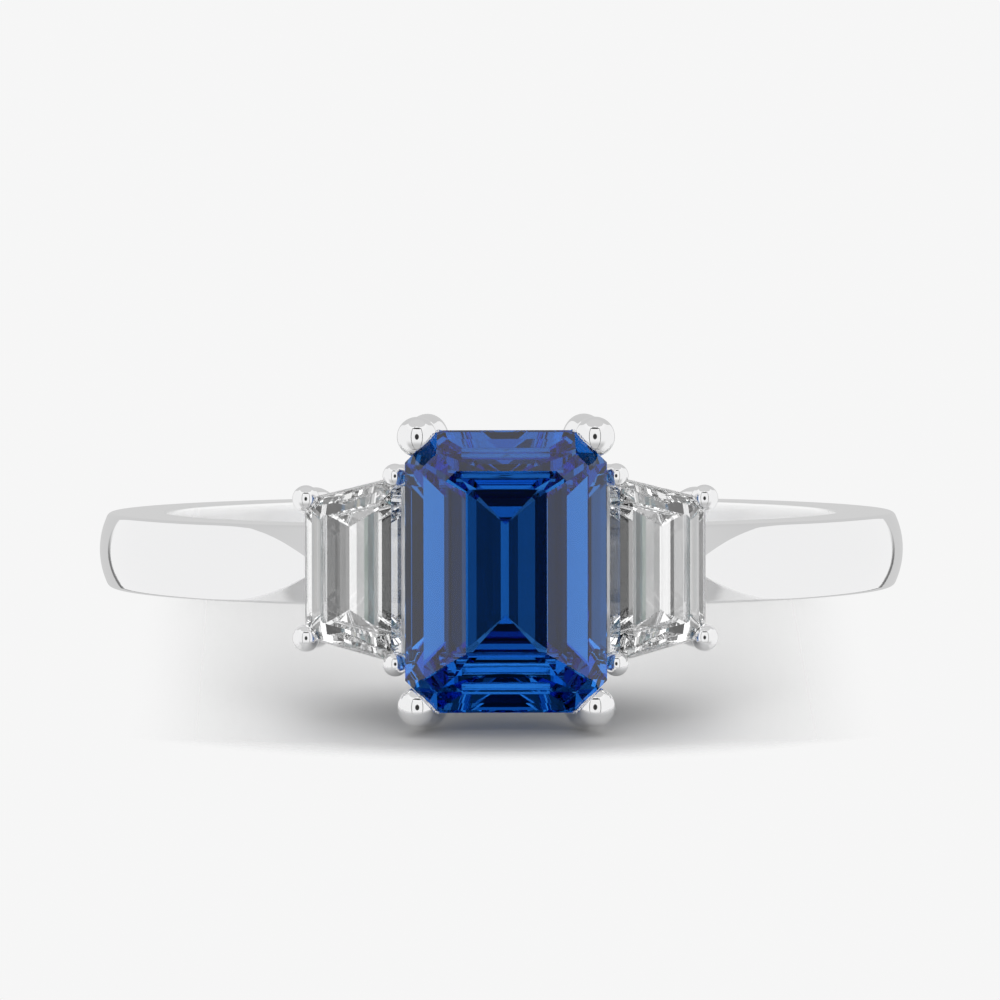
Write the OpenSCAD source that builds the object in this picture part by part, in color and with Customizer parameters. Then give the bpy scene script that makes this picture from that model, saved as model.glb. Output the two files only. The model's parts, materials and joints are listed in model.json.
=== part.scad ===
// Three stone ring, lying on its side as it rests by itself: a step cut centre stone
// between two trapezoid side stones, claw set on a plain shank with bevelled shoulders.
// The finger hole's axis is close to +Z, and the head faces -Y and slightly up.
// In the head's own frame x runs across the head, y along the finger and z out of the head.

/* [Finger hole] */
// Diameter of the finger hole
bore_d = 17.3; // [14:0.1:22]

/* [Shank] */
// Thickness of the shank halfway round
band_side_t = 1.7; // [1.4:0.05:2.6]
// Thickness of the shank opposite the head
band_back_t = 1.45; // [1.1:0.05:1.65]
// Width of the shank at the head
band_front_w = 2; // [1.7:0.05:3]
// Width of the shank opposite the head
band_back_w = 1.8; // [1.4:0.05:2.6]
// How far the outer face stands proud between its two edges
band_dome = 0.26; // [0.08:0.01:0.3]

/* [Shoulders] */
// Depth of a shoulder's end below the edge of its side stone
shoulder_drop = 0.45; // [0.35:0.05:0.7]
// Length of the straight bevel along a shoulder
bevel_l = 4; // [2.5:0.1:5]
// Width left between a shoulder's bevels at the head
bevel_tip_w = 0.24; // [0.15:0.01:0.6]
// Slope of the bevels below the outer face
bevel_angle = 48; // [35:1:60]
// Thickness of the bridge under the stones
bridge_t = 1.1; // [0.9:0.05:1.3]

/* [Centre stone] */
// Width of the centre stone
centre_w = 5; // [4:0.1:6.5]
// Length of the centre stone
centre_l = 7; // [6:0.1:9]
// Cut corner of the centre stone
centre_corner = 0.8; // [0.6:0.05:1]
// Height of the centre stone's crown
centre_crown = 0.96; // [0.6:0.02:1.2]
// Depth of the centre stone's pavilion
centre_pavilion = 2.32; // [2:0.02:2.6]
// Height of the centre stone's girdle above the finger
centre_height = 3.75; // [3.6:0.05:4.5]

/* [Side stones] */
// Width of a side stone
side_w = 2.63; // [2.2:0.01:3]
// Length of a side stone next to the centre stone
side_in_l = 4.75; // [4.2:0.05:5.2]
// Length of a side stone next to the shoulder
side_out_l = 3.45; // [3:0.05:4]
// Height of a side stone's crown
side_crown = 0.35; // [0.3:0.01:0.6]
// Depth of a side stone's pavilion
side_pavilion = 1.5; // [1.1:0.02:1.6]
// Tilt of a side stone away from the centre stone
side_tilt = 20; // [14:1:24]
// Drop from the centre stone's girdle to a side stone's near edge
side_drop = 0.87; // [0.8:0.01:1]
// Thickness of every stone's girdle
girdle_t = 0.1; // [0.06:0.01:0.16]

/* [Claws] */
// Diameter of a centre claw
claw_d = 0.84; // [0.7:0.02:1]
// Diameter of a centre claw's ball tip
ball_d = 0.9; // [0.88:0.02:1.1]
// Diameter of an outer side claw's ball tip
side_ball_d = 0.66; // [0.56:0.02:0.74]
// Diameter of an inner side claw's ball tip
inner_ball_d = 0.56; // [0.5:0.02:0.62]
// Diameter of the centre setting's rails
rail_d = 0.6; // [0.5:0.02:0.7]
// Diameter of a side setting's rail
side_rail_d = 0.44; // [0.38:0.02:0.5]
// Clearance between a stone and the metal round it
stone_gap = 0.02; // [0.01:0.01:0.04]

/* [Hidden] */
$fn = 96;
metal = [0.86, 0.86, 0.87];
sapphire = [0.07, 0.14, 0.55];
diamond = [0.93, 0.95, 0.97];
far = 4 * bore_d;
bore_r = bore_d / 2;

// Outer circle of the shank: it is set off towards the head, so the shank thins to the back.
outer_r = bore_r + band_side_t;
outer_off = band_side_t - band_back_t;
dome_r = (pow(band_front_w / 2, 2) + pow(band_dome, 2)) / (2 * band_dome);
front_reach = outer_off + outer_r;
back_reach = outer_r - outer_off;

// Stone positions in the head's frame
centre_z = bore_r + centre_height;
side_reach = side_w / 2 * cos(side_tilt);
side_x = centre_w / 2 + side_reach;
side_z = centre_z - side_drop - side_w / 2 * sin(side_tilt);
side_edge_z = side_z - side_w / 2 * sin(side_tilt);
near_edge_z = side_z + side_w / 2 * sin(side_tilt);

// A shoulder is straight from where it leaves the outer circle, at shoulder_angle from the
// head's axis, to its end below the outer edge of the side stone. Its far end lies just under
// the circle, so that the two faces cross at a slight angle.
shoulder_sink = 0.02;
line_r = outer_r - shoulder_sink;
shoulder_x = side_x + side_reach - 0.17;
shoulder_z = side_edge_z - shoulder_drop;
shoulder_far = norm([shoulder_x, shoulder_z - outer_off]);
shoulder_angle = atan2(shoulder_x, shoulder_z - outer_off) + acos(line_r / shoulder_far);
shoulder_l = sqrt(pow(shoulder_far, 2) - pow(line_r, 2));
bevel_rise = (band_front_w - bevel_tip_w) / 2;
bevel_r = (pow(bevel_l, 2) + pow(bevel_rise, 2)) / (2 * bevel_rise);

// Claws are bent rods through a foot in the bridge, a knee and a tip: [x, y, z] on the +x, +y side.
// A knee stands clear of its stone's pavilion by the rod's own radius.
rod_r = claw_d / 2;
ball_r = ball_d / 2;
side_ball_r = side_ball_d / 2;
inner_ball_r = inner_ball_d / 2;
side_rod_r = 0.84 * side_ball_r;
inner_rod_r = 0.88 * inner_ball_r;
joint_share = 1.03;
foot_z = bore_r + 0.5 * bridge_t;
claw_lap = 0.1;
knee_share = 0.24;
claw_tip = [centre_w / 2 - 0.375 * centre_corner, centre_l / 2 - 0.19 * centre_corner, centre_z + 0.3 * ball_d];
claw_knee = [claw_tip[0] - 0.32, centre_l / 2 + 0.02, centre_z - knee_share * centre_pavilion];
claw_foot = [0.42 * centre_w / 2, band_front_w / 2 - 0.8 * rod_r, foot_z];

// The side claws' places in the +x side setting's frame: [outwards, y, out of the stone]
knee_depth = 0.4 * side_pavilion;
knee_inset = 0.22 * side_w / 2;
outer_tip = [side_w / 2 + 0.03, side_out_l / 2 + 0.01, 0.12];
outer_knee = [side_w / 2 - knee_inset + 0.6 * side_rod_r, side_out_l / 2 - knee_inset + side_rod_r, -knee_depth];
inner_tip = [-side_w / 2 + 0.2, side_in_l / 2 - 0.04, 0.16];
inner_knee = [-side_w / 2 + 0.24, side_in_l / 2 - knee_inset + inner_rod_r, -knee_depth];
outer_foot = [0.9 * side_x, band_front_w / 2 - 0.9 * side_rod_r, 0.95 * foot_z];
inner_foot = [centre_w / 2 + 0.05, band_front_w / 2 - 0.9 * inner_rod_r, 0.975 * foot_z];
rail_share = 0.42;
side_rail_share = 0.3;

// A place in the head's frame from one in the +x side setting's frame
function from_side(p) =
    [side_x + p[0] * cos(side_tilt) + p[2] * sin(side_tilt), p[1],
     side_z - p[0] * sin(side_tilt) + p[2] * cos(side_tilt)];

// Step tables of the cuts. A row is a ring of edges between two rows of facets: shares of the
// half width taken off the sides and off the ends, share of the crown or pavilion, share of the corner.
INSET_X = 0;
INSET_Y = 1;
HEIGHT = 2;
CORNER = 3;
centre_crown_steps = [[0.183, 0.221, 0.554, 0.4], [0.402, 0.39, 0.892, 0.32], [0.6, 0.571, 1, 0.1]];
centre_pavilion_steps = [[0.145, 0.145, 0.282, 0.6], [0.293, 0.285, 0.414, 0.4], [0.709, 0.67, 0.766, 0.1]];
side_crown_steps = [[0.2, 0.2, 0.62, 1], [0.42, 0.4, 1, 1]];
side_pavilion_steps = [[0.24, 0.2, 0.32, 1], [0.567, 0.47, 0.735, 1]];
side_corner = 0.06;
// Share of the half width that a keel's ends are moved in by, from where the ends' slopes would meet
centre_keel_share = 0.95;
side_keel_share = 0.7;
// Distance of a side stone's keel from its middle, away from the centre stone
keel_shift = 0.108 * side_w;

// At rest the two lower centre claws and the shank's back edge lie on the floor, at z = 0.
back_edge_r = outer_r - dome_r + sqrt(pow(dome_r, 2) - pow(band_back_w / 2, 2));
rest_run = claw_knee[2] + back_edge_r - outer_off;
rest_rise = claw_knee[1] - band_back_w / 2;
knee_r = joint_share * rod_r;
tilt = atan(rest_rise / rest_run) + asin(knee_r / norm([rest_run, rest_rise]));
rest_z = band_back_w / 2 * cos(tilt) + (back_edge_r - outer_off) * sin(tilt);
table_z = centre_z + girdle_t / 2 + centre_crown;
table_y = centre_l / 2 - centre_crown_steps[len(centre_crown_steps) - 1][INSET_Y] * centre_w / 2;
front_y = max(table_z * cos(tilt) + table_y * sin(tilt),
              claw_tip[2] * cos(tilt) + claw_tip[1] * sin(tilt) + ball_r);
rear_y = (outer_r - dome_r - outer_off) * cos(tilt) + dome_r;
rest_y = (front_y - rear_y) / 2;

// Outline of a stone at one level, anticlockwise from its +x, +y corner. The quadrilateral has
// half length near at +x and away at -x, its long sides are moved in by ix and its ends by iy,
// and its corners are cut by c.
function outline(w, near, away, ix, iy, c) =
    let (
        slope = (near - away) / (2 * w),
        run = 1 / sqrt(1 + slope * slope),
        x = w - ix,
        y1 = near - slope * ix - iy / run,
        y2 = away + slope * ix - iy / run
    )
    [
        [x, y1 - c], [x - c * run, y1 - slope * c * run],
        [-x + c * run, y2 + slope * c * run], [-x, y2 - c],
        [-x, -y2 + c], [-x + c * run, -y2 - slope * c * run],
        [x - c * run, -y1 + slope * c * run], [x, -y1 + c]
    ];

function ring_at(w, near, away, ix, iy, c, z) =
    [for (p = outline(w, near, away, ix, iy, c)) [p[0], p[1], z]];

// Half length of a keel line, shift away from the middle, whose ends are moved in by a share of w
function keel(w, near, away, shift, share) =
    (near + away) / 2 - shift * (near - away) / (2 * w) - share * w * sqrt(1 + pow((near - away) / (2 * w), 2));

// Step cut stone with its girdle centred on z = 0, grown all round by grow.
module step_cut(w, near, away, corner, crown, pavilion, crown_steps, pavilion_steps, shift, share, grow) {
    hw = w / 2 + grow;
    hn = near / 2 + grow;
    ha = away / 2 + grow;
    top = girdle_t / 2 + grow;
    rings = concat(
        [for (i = [len(crown_steps) - 1:-1:0]) let (s = crown_steps[i])
            ring_at(hw, hn, ha, s[INSET_X] * w / 2, s[INSET_Y] * w / 2, corner * s[CORNER], top + s[HEIGHT] * crown)],
        [ring_at(hw, hn, ha, 0, 0, corner, top), ring_at(hw, hn, ha, 0, 0, corner, -top)],
        [for (s = pavilion_steps)
            ring_at(hw, hn, ha, s[INSET_X] * w / 2, s[INSET_Y] * w / 2, corner * s[CORNER],
                    -top - s[HEIGHT] * pavilion)]
    );
    n = 8;
    last = (len(rings) - 1) * n;
    k = keel(hw, hn, ha, shift, share);
    tip = len(rings) * n;
    points = concat([for (r = rings) each r],
                    [[-shift, k, -top - pavilion], [-shift, -k, -top - pavilion]]);
    table = [[for (i = [n - 1:-1:0]) i]];
    steps = [for (r = [0:len(rings) - 2], i = [0:n - 1])
        [r * n + i, r * n + (i + 1) % n, (r + 1) * n + (i + 1) % n, (r + 1) * n + i]];
    ends = [for (i = [0, 1, 2]) [last + i, last + i + 1, tip]];
    other_ends = [for (i = [4, 5, 6]) [last + i, last + i + 1, tip + 1]];
    sides = [[last + 3, last + 4, tip + 1, tip], [last + 7, last, tip, tip + 1]];
    polyhedron(points = points, faces = concat(table, steps, ends, other_ends, sides));
}

module centre_cut(grow = 0) {
    translate([0, 0, centre_z])
        step_cut(centre_w, centre_l, centre_l, centre_corner, centre_crown, centre_pavilion,
                 centre_crown_steps, centre_pavilion_steps, 0, centre_keel_share, grow);
}

// Frame of a side setting: its z axis points out of the stone and its x axis to the centre stone.
module side_frame(side) {
    mirror([side > 0 ? 1 : 0, 0, 0])
        translate([-side_x, 0, side_z]) rotate([0, -side_tilt, 0]) children();
}

module side_cut(side, grow = 0) {
    side_frame(side)
        step_cut(side_w, side_in_l, side_out_l, side_corner, side_crown, side_pavilion,
                 side_crown_steps, side_pavilion_steps, keel_shift, side_keel_share, grow);
}

// Sets the head's frame down at rest, with the head towards -Y.
module at_rest() {
    translate([0, rest_y, rest_z]) rotate([90 - tilt, 0, 0]) children();
}

// Round rod between two points, and the ball that joins two rods
module rod(a, b, r) {
    d = b - a;
    translate(a) rotate([0, acos(d[2] / norm(d)), atan2(d[1], d[0])]) cylinder(h = norm(d), r = r);
}

module joint(p, r) {
    translate(p) sphere(r);
}

module bent_claw(foot, knee, tip, r, tip_r) {
    rod(foot, knee, r);
    joint(knee, joint_share * r);
    rod(knee, tip, r);
    joint(tip, tip_r);
}

// Places its children in each of the four quarters of the head.
module quarters() {
    for (i = [0, 1], j = [0, 1]) mirror([i, 0, 0]) mirror([0, j, 0]) children();
}

// Hoop with a domed outer face, its axis along y
module domed_hoop(r, off) {
    translate([0, 0, off]) rotate([90, 0, 0]) rotate_extrude() intersection() {
        translate([r - dome_r, 0]) circle(dome_r);
        translate([r / 2, -band_front_w / 2]) square([r, band_front_w]);
    }
}

// Both side faces of the shank, which narrows from the head to the back
module side_faces() {
    f = band_front_w / 2;
    b = band_back_w / 2;
    rotate([90, 0, 90]) translate([0, 0, -far / 2]) linear_extrude(far)
        polygon([[-b, -back_reach], [b, -back_reach], [f, front_reach], [f, far], [-f, far], [-f, front_reach]]);
}

// Frame of the +x shoulder: its origin is the end at the head, its x axis runs down along the
// shoulder and its z axis points out of the outer face.
module shoulder_frame() {
    translate([shoulder_x, 0, shoulder_z]) rotate([0, shoulder_angle, 0]) children();
}

module shoulder_bar() {
    shoulder_frame() rotate([90, 0, 90]) linear_extrude(shoulder_l) intersection() {
        translate([0, -dome_r]) circle(dome_r);
        translate([-band_front_w / 2, -band_side_t]) square([band_front_w, 2 * band_side_t]);
    }
}

// What a bevel takes off one side of a shoulder: all outside a cone round an axis along z
module bevel_waste() {
    grow = 1 / tan(bevel_angle);
    deep = band_front_w;
    high = band_dome + shoulder_drop;
    past = side_w;
    shoulder_frame() difference() {
        translate([-past, 0, -deep]) cube([past + bevel_l, 2 * band_front_w, deep + high]);
        translate([bevel_l, band_front_w / 2 - bevel_r, -2 * deep])
            cylinder(h = 2 * deep + 2 * high, r1 = bevel_r + 2 * deep * grow, r2 = bevel_r - 2 * high * grow);
    }
}

module shank() {
    intersection() {
        union() {
            difference() {
                domed_hoop(outer_r, outer_off);
                translate([-shoulder_x, -far / 2, 0]) cube([2 * shoulder_x, far, far]);
            }
            for (i = [0, 1]) mirror([i, 0, 0]) shoulder_bar();
        }
        side_faces();
    }
}

module bridge() {
    intersection() {
        domed_hoop(bore_r + bridge_t, 0);
        translate([-0.85 * bore_r, -far / 2, 0]) cube([1.7 * bore_r, far, far]);
        side_faces();
    }
}

function along(a, b, share) = a + share * (b - a);

// Rail joining the four centre claws
module centre_rail() {
    p = along(claw_knee, claw_foot, rail_share);
    for (s = [-1, 1]) {
        rod([-p[0], s * p[1], p[2]], [p[0], s * p[1], p[2]], rail_d / 2);
        rod([s * p[0], -p[1], p[2]], [s * p[0], p[1], p[2]], rail_d / 2);
    }
}

// Rail joining the four claws of the +x side setting
module side_rail() {
    p = along(from_side(outer_knee), outer_foot, side_rail_share);
    q = along(from_side(inner_knee), inner_foot, side_rail_share);
    rod([p[0], -p[1], p[2]], p, side_rail_d / 2);
    rod([q[0], -q[1], q[2]], q, side_rail_d / 2);
    for (s = [-1, 1]) rod([p[0], s * p[1], p[2]], [q[0], s * q[1], q[2]], side_rail_d / 2);
}

module settings() {
    quarters() {
        bent_claw(claw_foot, claw_knee, claw_tip, rod_r, ball_r);
        bent_claw(outer_foot, from_side(outer_knee), from_side(outer_tip), side_rod_r, side_ball_r);
        bent_claw(inner_foot, from_side(inner_knee), from_side(inner_tip), inner_rod_r, inner_ball_r);
    }
    centre_rail();
    for (i = [0, 1]) mirror([i, 0, 0]) side_rail();
}

// Flat that is filed on a centre claw's ball where it meets the crown
module filed_flat() {
    w = centre_w - 2 * claw_lap;
    l = centre_l - 2 * claw_lap;
    ring = outline(w / 2, l / 2, l / 2, 0, 0, centre_corner - 0.58 * claw_lap);
    translate([0, 0, centre_z]) linear_extrude(centre_crown + ball_d) polygon(ring);
}

module ring_mount() {
    color(metal) at_rest() difference() {
        union() {
            difference() {
                shank();
                quarters() bevel_waste();
            }
            bridge();
            settings();
        }
        centre_cut(stone_gap);
        filed_flat();
        side_cut(-1, stone_gap);
        side_cut(1, stone_gap);
        rotate([90, 0, 0]) cylinder(h = far, r = bore_r, center = true);
    }
}

module centre_stone() {
    color(sapphire) at_rest() centre_cut();
}

module left_stone() {
    color(diamond) at_rest() side_cut(-1);
}

module right_stone() {
    color(diamond) at_rest() side_cut(1);
}

ring_mount();
centre_stone();
left_stone();
right_stone();
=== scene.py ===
import json
import math

import bpy
import numpy as np
from bpy.props import FloatProperty, FloatVectorProperty, PointerProperty
from mathutils import Matrix, Vector


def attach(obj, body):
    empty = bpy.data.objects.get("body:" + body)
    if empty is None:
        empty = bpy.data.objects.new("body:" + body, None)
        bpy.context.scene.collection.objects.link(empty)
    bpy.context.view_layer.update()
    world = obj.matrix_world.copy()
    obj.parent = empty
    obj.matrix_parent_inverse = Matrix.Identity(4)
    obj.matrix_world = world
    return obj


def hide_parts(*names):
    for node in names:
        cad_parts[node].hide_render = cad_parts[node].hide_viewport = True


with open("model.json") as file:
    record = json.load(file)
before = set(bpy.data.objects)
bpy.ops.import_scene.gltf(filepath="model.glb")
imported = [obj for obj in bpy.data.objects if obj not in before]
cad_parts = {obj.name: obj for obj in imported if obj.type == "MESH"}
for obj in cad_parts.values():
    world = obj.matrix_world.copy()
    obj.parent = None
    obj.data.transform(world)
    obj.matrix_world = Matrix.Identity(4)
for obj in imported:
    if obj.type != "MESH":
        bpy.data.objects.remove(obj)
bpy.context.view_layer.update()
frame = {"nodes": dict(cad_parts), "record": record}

bl_info = {
    "name": "Three Stone Ring",
    "version": (1, 0, 0),
    "blender": (4, 5, 0),
    "location": "3D View > Sidebar > Ring",
    "description": "Builds a three stone ring lying on its side, and a plain studio round it",
    "category": "Add Mesh",
}

MM = 0.001
DEGREE = math.pi / 180
BORE = next(m for m in frame["record"]["mounts"] if m["name"] == "finger_bore")


def place(name, mm):
    """A place in the head's frame, in millimetres, in the quarter where x and y are positive."""
    return FloatVectorProperty(
        name=name, description=f"{name}: across the head, along the finger and out of the head",
        default=[v * MM for v in mm], unit="LENGTH", subtype="XYZ")


class ShankSizes(bpy.types.PropertyGroup):
    """Sizes of the shank, its shoulders and the bridge under the stones"""

    bore_radius: FloatProperty(
        name="Finger hole radius", description="Radius of the finger hole",
        default=BORE["dims"]["r_mm"] * MM, unit="LENGTH")
    side_thickness: FloatProperty(
        name="Side thickness", description="Thickness of the shank halfway round",
        default=1.7 * MM, unit="LENGTH")
    back_thickness: FloatProperty(
        name="Back thickness", description="Thickness of the shank opposite the head",
        default=1.45 * MM, unit="LENGTH")
    front_width: FloatProperty(
        name="Front width", description="Width of the shank at the head",
        default=2.0 * MM, unit="LENGTH")
    back_width: FloatProperty(
        name="Back width", description="Width of the shank opposite the head",
        default=1.8 * MM, unit="LENGTH")
    dome: FloatProperty(
        name="Dome", description="How far the outer face stands proud between its two edges",
        default=0.26 * MM, unit="LENGTH")
    shoulder_x: FloatProperty(
        name="Shoulder end", description="Distance of a shoulder's end from the head's middle",
        default=4.801 * MM, unit="LENGTH")
    shoulder_z: FloatProperty(
        name="Shoulder end height", description="Height of a shoulder's end above the hole's axis",
        default=10.181 * MM, unit="LENGTH")
    bevel_length: FloatProperty(
        name="Bevel length", description="Length of the bevel along a shoulder",
        default=4.0 * MM, unit="LENGTH")
    bevel_tip: FloatProperty(
        name="Bevel tip width", description="Width left between a shoulder's bevels at the head",
        default=0.24 * MM, unit="LENGTH")
    bevel_angle: FloatProperty(
        name="Bevel slope", description="Slope of the bevels below the outer face",
        default=math.radians(48), unit="ROTATION", subtype="ANGLE")
    bridge: FloatProperty(
        name="Bridge thickness", description="Thickness of the bridge under the stones",
        default=1.1 * MM, unit="LENGTH")
    edge: FloatProperty(
        name="Edge radius", description="Radius that polishing leaves on the shank's edges",
        default=0.09 * MM, unit="LENGTH")


class ClawSizes(bpy.types.PropertyGroup):
    """Sizes of the claws and rails that hold the stones, and their places in the head's frame"""

    claw: FloatProperty(
        name="Claw", description="Diameter of a centre claw", default=0.84 * MM, unit="LENGTH")
    ball: FloatProperty(
        name="Claw ball", description="Diameter of a centre claw's ball tip",
        default=0.99 * MM, unit="LENGTH")
    flat: FloatProperty(
        name="Filed flat",
        description="Distance from a centre claw's ball to the flat filed along the stone",
        default=0.235 * MM, unit="LENGTH")
    outer_ball: FloatProperty(
        name="Outer side ball", description="Diameter of an outer side claw's ball tip",
        default=0.68 * MM, unit="LENGTH")
    inner_ball: FloatProperty(
        name="Inner side ball", description="Diameter of an inner side claw's ball tip",
        default=0.62 * MM, unit="LENGTH")
    rail: FloatProperty(
        name="Rail", description="Diameter of the centre setting's rail",
        default=0.6 * MM, unit="LENGTH")
    side_rail: FloatProperty(
        name="Side rail", description="Diameter of a side setting's rail",
        default=0.44 * MM, unit="LENGTH")
    seat: FloatProperty(
        name="Seat clearance", description="Clearance between a stone and its seats",
        default=0.02 * MM, unit="LENGTH")
    tip: place("Centre claw tip", (2.2, 3.348, 12.67))
    knee: place("Centre claw knee", (1.88, 3.52, 11.843))
    foot: place("Centre claw foot", (1.05, 0.664, 9.2))
    corner: place("Centre rail corner", (1.531, 2.32, 10.733))
    outer_tip: place("Outer claw tip", (4.96, 1.735, 10.75))
    outer_knee: place("Outer claw knee", (4.651, 1.713, 10.109))
    outer_foot: place("Outer claw foot", (3.362, 0.751, 8.74))
    outer_corner: place("Side rail's outer corner", (4.264, 1.424, 9.698))
    inner_tip: place("Inner claw tip", (2.743, 2.335, 11.612))
    inner_knee: place("Inner claw knee", (2.52, 2.332, 10.884))
    inner_foot: place("Inner claw foot", (2.55, 0.778, 8.97))
    inner_corner: place("Side rail's inner corner", (2.529, 1.866, 10.31))


class Finishes(bpy.types.PropertyGroup):
    """Colours of the metal and the stones"""

    metal: FloatVectorProperty(
        name="White metal", description="Colour of the polished metal", subtype="COLOR",
        default=(0.91, 0.91, 0.915), min=0, max=1)
    inside: FloatProperty(
        name="Inside", description="Roughness of the finger hole's wall, which is polished less",
        default=0.22, min=0, max=1)
    sapphire: FloatVectorProperty(
        name="Sapphire", description="Body colour of the centre stone", subtype="COLOR",
        default=(0.42, 0.53, 0.78), min=0, max=1)
    # Painted shade: a darker body colour in the sapphire's middle, and the size of that zone
    sapphire_painted_shade: FloatVectorProperty(
        name="Sapphire heart",
        description="Body colour of the deeper zone in the centre stone's middle",
        subtype="COLOR", default=(0.06, 0.19, 0.43), min=0, max=1)
    painted_shade_size: FloatVectorProperty(
        name="Heart size", description="Half width and half length of the deeper zone",
        default=(1.02 * MM, 2.1 * MM), size=2, unit="LENGTH")
    sapphire_depth: FloatVectorProperty(
        name="Sapphire depth", description="Colour that the sapphire lets through", subtype="COLOR",
        default=(0.1, 0.62, 0.86), min=0, max=1)
    sapphire_density: FloatProperty(
        name="Sapphire density",
        description="How strongly the sapphire takes up light, for each metre",
        default=500, min=0)
    diamond: FloatVectorProperty(
        name="Diamond", description="Body colour of the side stones", subtype="COLOR",
        default=(0.985, 0.985, 0.985), min=0, max=1)
    # Painted reflection: the sapphire's colour for light that has come through another stone, which
    # sets how the diamonds show it
    sapphire_painted_reflection: FloatVectorProperty(
        name="Sapphire aside",
        description="Body colour of the centre stone for light that has passed through a stone",
        subtype="COLOR", default=(1.0, 0.52, 0.3), min=0, max=1)


class StudioSettings(bpy.types.PropertyGroup):
    """Camera, light and floor"""

    distance: FloatProperty(
        name="Camera distance", description="Distance from the camera to the centre stone",
        default=287 * MM, unit="LENGTH")
    elevation: FloatProperty(
        name="Camera elevation", description="Angle of the camera above the floor",
        default=math.radians(10.5), unit="ROTATION", subtype="ANGLE")
    azimuth: FloatProperty(
        name="Camera azimuth", description="Angle of the camera to the head's right",
        default=math.radians(-0.54), unit="ROTATION", subtype="ANGLE")
    view_width: FloatProperty(
        name="View width", description="Width of the view at the centre stone",
        default=24.75 * MM, unit="LENGTH")
    girdle: FloatProperty(
        name="Girdle height",
        description="Height of the centre stone's girdle above the hole's axis",
        default=12.4 * MM, unit="LENGTH")
    rise: FloatProperty(
        name="View rise",
        description="Height of the view's middle above the centre stone's girdle",
        default=1.77 * MM, unit="LENGTH")
    shift: FloatProperty(
        name="View shift",
        description="Distance of the view's middle to the left of the centre stone",
        default=0.148 * MM, unit="LENGTH")
    light: FloatProperty(
        name="Light", description="Strength of the white light tent", default=0.94, min=0)
    white: FloatProperty(
        name="White", description="White that the camera sees past the floor",
        default=0.923, min=0)
    floor: FloatProperty(
        name="Floor", description="Share of the light that the floor gives back",
        default=0.86, min=0, max=1)
    floor_radius: FloatProperty(
        name="Floor radius", description="Radius of the floor's disc",
        default=15.8 * MM, unit="LENGTH")
    # Painted shadow on the floor under the head: the share of white left in it, its middle and its
    # radius
    shade: FloatProperty(
        name="Shade", description="Share of the floor's white that is left under the head",
        default=0.65, min=0, max=1)
    shade_front: FloatProperty(
        name="Shade place", description="Place of the shade's middle from back to front",
        default=-9.5 * MM, unit="LENGTH")
    shade_radius: FloatProperty(
        name="Shade radius", description="Radius at which the shade has faded out",
        default=6.5 * MM, unit="LENGTH")
    floor_width: FloatProperty(
        name="Floor width", description="Half width at which the floor has faded out",
        default=9.5 * MM, unit="LENGTH")
    floor_back: FloatProperty(
        name="Floor back", description="Distance of the floor's middle behind the ring's",
        default=1.2 * MM, unit="LENGTH")


# The head's own frame: x across the head, y along the finger hole's axis and z out of the head.
HOLE_AXIS = np.array(BORE["axis"]) / np.linalg.norm(BORE["axis"])
ACROSS = np.array([1.0, 0.0, 0.0])
OUT = np.cross(ACROSS, HOLE_AXIS)
HEAD = np.array([ACROSS, HOLE_AXIS, OUT])
HOLE_CENTRE = np.array(BORE["pos_m"])

# Edges whose faces turn by more than this stay sharp lines
SHARP = math.radians(34)
# A length beyond any on the ring, for a limit that doesn't hold at some place
FAR = 1.0


def from_head(points):
    """Row frame places of points given in the head's frame: the hole's centre plus their shares."""
    return HOLE_CENTRE + np.asarray(points) @ HEAD


def to_head(points):
    """Head frame places of points given in the row frame."""
    return (np.asarray(points) - HOLE_CENTRE) @ HEAD.T


def unit(vectors):
    """Each vector divided by its length."""
    return vectors / np.linalg.norm(vectors, axis=-1, keepdims=True)


def smooth_min(a, b, k):
    """The lesser of two heights, with the corner between them rounded over a height k."""
    h = np.clip(k - np.abs(a - b), 0, None) / k
    return np.minimum(a, b) - h * h * k / 4


def smooth_max(a, b, k):
    """The greater of two heights, with the corner between them filled over a height k."""
    return -smooth_min(-a, -b, k)


def grid_faces(rows, columns, close_rows):
    """Quads of a grid of rows by columns points. Each row is closed round, and so are the columns
    if asked."""
    r = np.arange(rows if close_rows else rows - 1)
    r, c = (v.ravel() for v in np.meshgrid(r, np.arange(columns), indexing="ij"))
    nr, nc = (r + 1) % rows, (c + 1) % columns
    return np.stack([r * columns + c, r * columns + nc, nr * columns + nc, nr * columns + c], 1)


def make_object(name, parts, material):
    """One mesh object from parts, each a point array in the head's frame, its quads and its
    triangles."""
    points, quads, tris, count = [], [], [], 0
    for p, q, t in parts:
        points.append(from_head(p))
        quads.append(np.asarray(q, int).reshape(-1, 4) + count)
        tris.append(np.asarray(t, int).reshape(-1, 3) + count)
        count += len(p)
    points, quads, tris = (np.concatenate(v) for v in (points, quads, tris))
    mesh = bpy.data.meshes.new(name)
    mesh.vertices.add(len(points))
    mesh.vertices.foreach_set("co", points.ravel())
    corners = np.concatenate([quads.ravel(), tris.ravel()])
    mesh.loops.add(len(corners))
    mesh.loops.foreach_set("vertex_index", corners)
    starts = np.concatenate([np.arange(len(quads)) * 4, quads.size + np.arange(len(tris)) * 3])
    mesh.polygons.add(len(starts))
    mesh.polygons.foreach_set("loop_start", starts)
    mesh.update(calc_edges=True)
    mesh.validate()
    mesh.polygons.foreach_set("use_smooth", np.ones(len(mesh.polygons), bool))
    mesh.set_sharp_from_angle(angle=SHARP)
    mesh.materials.append(material)
    obj = bpy.data.objects.new(name, mesh)
    bpy.context.scene.collection.objects.link(obj)
    return obj


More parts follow.
